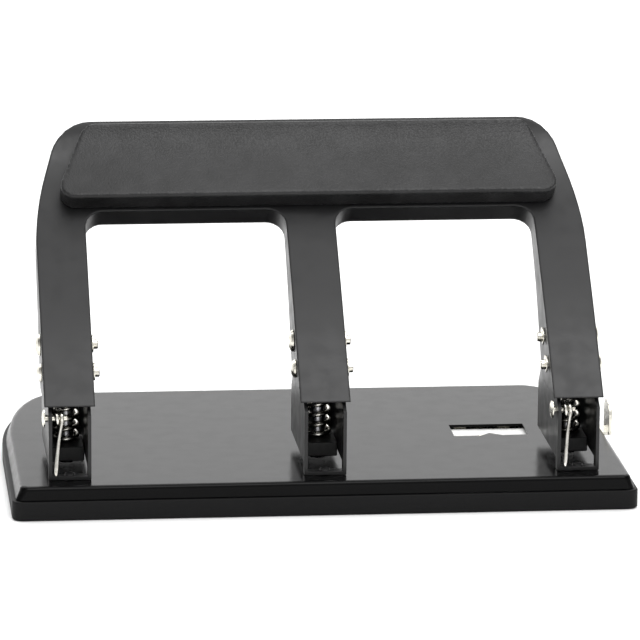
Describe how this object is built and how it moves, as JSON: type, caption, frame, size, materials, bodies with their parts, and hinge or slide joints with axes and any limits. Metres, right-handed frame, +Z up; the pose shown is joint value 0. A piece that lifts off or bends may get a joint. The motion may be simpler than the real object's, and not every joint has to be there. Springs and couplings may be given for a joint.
{
  "type": "three-hole punch",
  "caption": "Desk lever punch: a padded comb-shaped handle drives round punches through paper laid on a flat steel base over a chip tray.",
  "frame": {"origin": "centre of the footprint, on the table surface", "axes": "+X along the base's long side, +Y away from the hinge side toward where paper enters, +Z up"},
  "size_m": [0.2676, 0.1644, 0.1503],
  "materials": {
    "tray_plastic": "matt moulded black",
    "base_enamel": "gloss black enamel",
    "zinc": "bright zinc plate",
    "strip_white": "matt white",
    "head_steel": "satin black enamel",
    "handle_steel": "satin black enamel",
    "pad_vinyl": "grained dark grey vinyl",
    "spring_steel": "bright wire",
    "tool_steel": "hardened, ground",
    "block_plastic": "matt black"
  },
  "bodies": {
    "base": {"base_plate": "base_enamel", "guide_keeper_inner": "zinc", "guide_keeper_outer": "zinc", "head_frame_left": "head_steel", "foot_rivet_left": "head_steel", "guide_block_left": "block_plastic", "die_ring_left": "tool_steel", "head_frame_middle": "head_steel", "foot_rivet_middle": "head_steel", "guide_block_middle": "block_plastic", "die_ring_middle": "tool_steel", "head_frame_right": "head_steel", "foot_rivet_right": "head_steel", "guide_block_right": "block_plastic", "die_ring_right": "tool_steel", "torsion_pin_left": "zinc", "torsion_spring_left": "spring_steel", "torsion_pin_right": "zinc", "torsion_spring_right": "spring_steel"},
    "tray": {"chip_tray": "tray_plastic"},
    "guide": {"paper_guide": "zinc", "scale_strip": "strip_white"},
    "handle": {"handle_frame": "handle_steel", "handle_pad": "pad_vinyl", "pivot_pin_left": "zinc", "drive_pin_left": "zinc", "pivot_clip_left": "zinc", "drive_clip_left": "zinc", "pivot_pin_middle": "zinc", "drive_pin_middle": "zinc", "pivot_clip_middle": "zinc", "drive_clip_middle": "zinc", "pivot_pin_right": "zinc", "drive_pin_right": "zinc", "pivot_clip_right": "zinc", "drive_clip_right": "zinc"},
    "punch_left": {"punch_pin_left": "tool_steel", "spring_cap_left": "zinc", "punch_spring_left": "spring_steel"},
    "punch_middle": {"punch_pin_middle": "tool_steel", "spring_cap_middle": "zinc", "punch_spring_middle": "spring_steel"},
    "punch_right": {"punch_pin_right": "tool_steel", "spring_cap_right": "zinc", "punch_spring_right": "spring_steel"}
  },
  "joints": [
    {"name": "handle_hinge", "type": "hinge", "parent": "base", "child": "handle", "pos_m": [0, -0.05, 0.056], "axis": [-1, 0, 0], "range_deg": [0, 38], "stiffness_Nm_per_rad": 1.2, "springref_deg": -20.05, "deforming": ["torsion_spring_left", "torsion_spring_right"]},
    {"name": "guide_slide", "type": "slide", "parent": "base", "child": "guide", "axis": [1, 0, 0], "range_m": [0, 0.045]},
    {"name": "tray_hinge", "type": "hinge", "parent": "base", "child": "tray", "pos_m": [0, -0.0822, 0.0082], "axis": [-1, 0, 0], "range_deg": [0, 70]},
    {"name": "punch_slide_left", "type": "slide", "parent": "base", "child": "punch_left", "axis": [0, 0, -1], "range_m": [-0.0001, 0.009], "deforming": ["punch_spring_left"]},
    {"name": "punch_slide_middle", "type": "slide", "parent": "base", "child": "punch_middle", "axis": [0, 0, -1], "range_m": [-0.0001, 0.009], "deforming": ["punch_spring_middle"]},
    {"name": "punch_slide_right", "type": "slide", "parent": "base", "child": "punch_right", "axis": [0, 0, -1], "range_m": [-0.0001, 0.009], "deforming": ["punch_spring_right"]}
  ],
  "couplings": [
    {"joint": "punch_slide_left", "follows": "handle_hinge", "m_per_rad": 0.013268},
    {"joint": "punch_slide_middle", "follows": "handle_hinge", "m_per_rad": 0.013268},
    {"joint": "punch_slide_right", "follows": "handle_hinge", "m_per_rad": 0.013268}
  ]
}
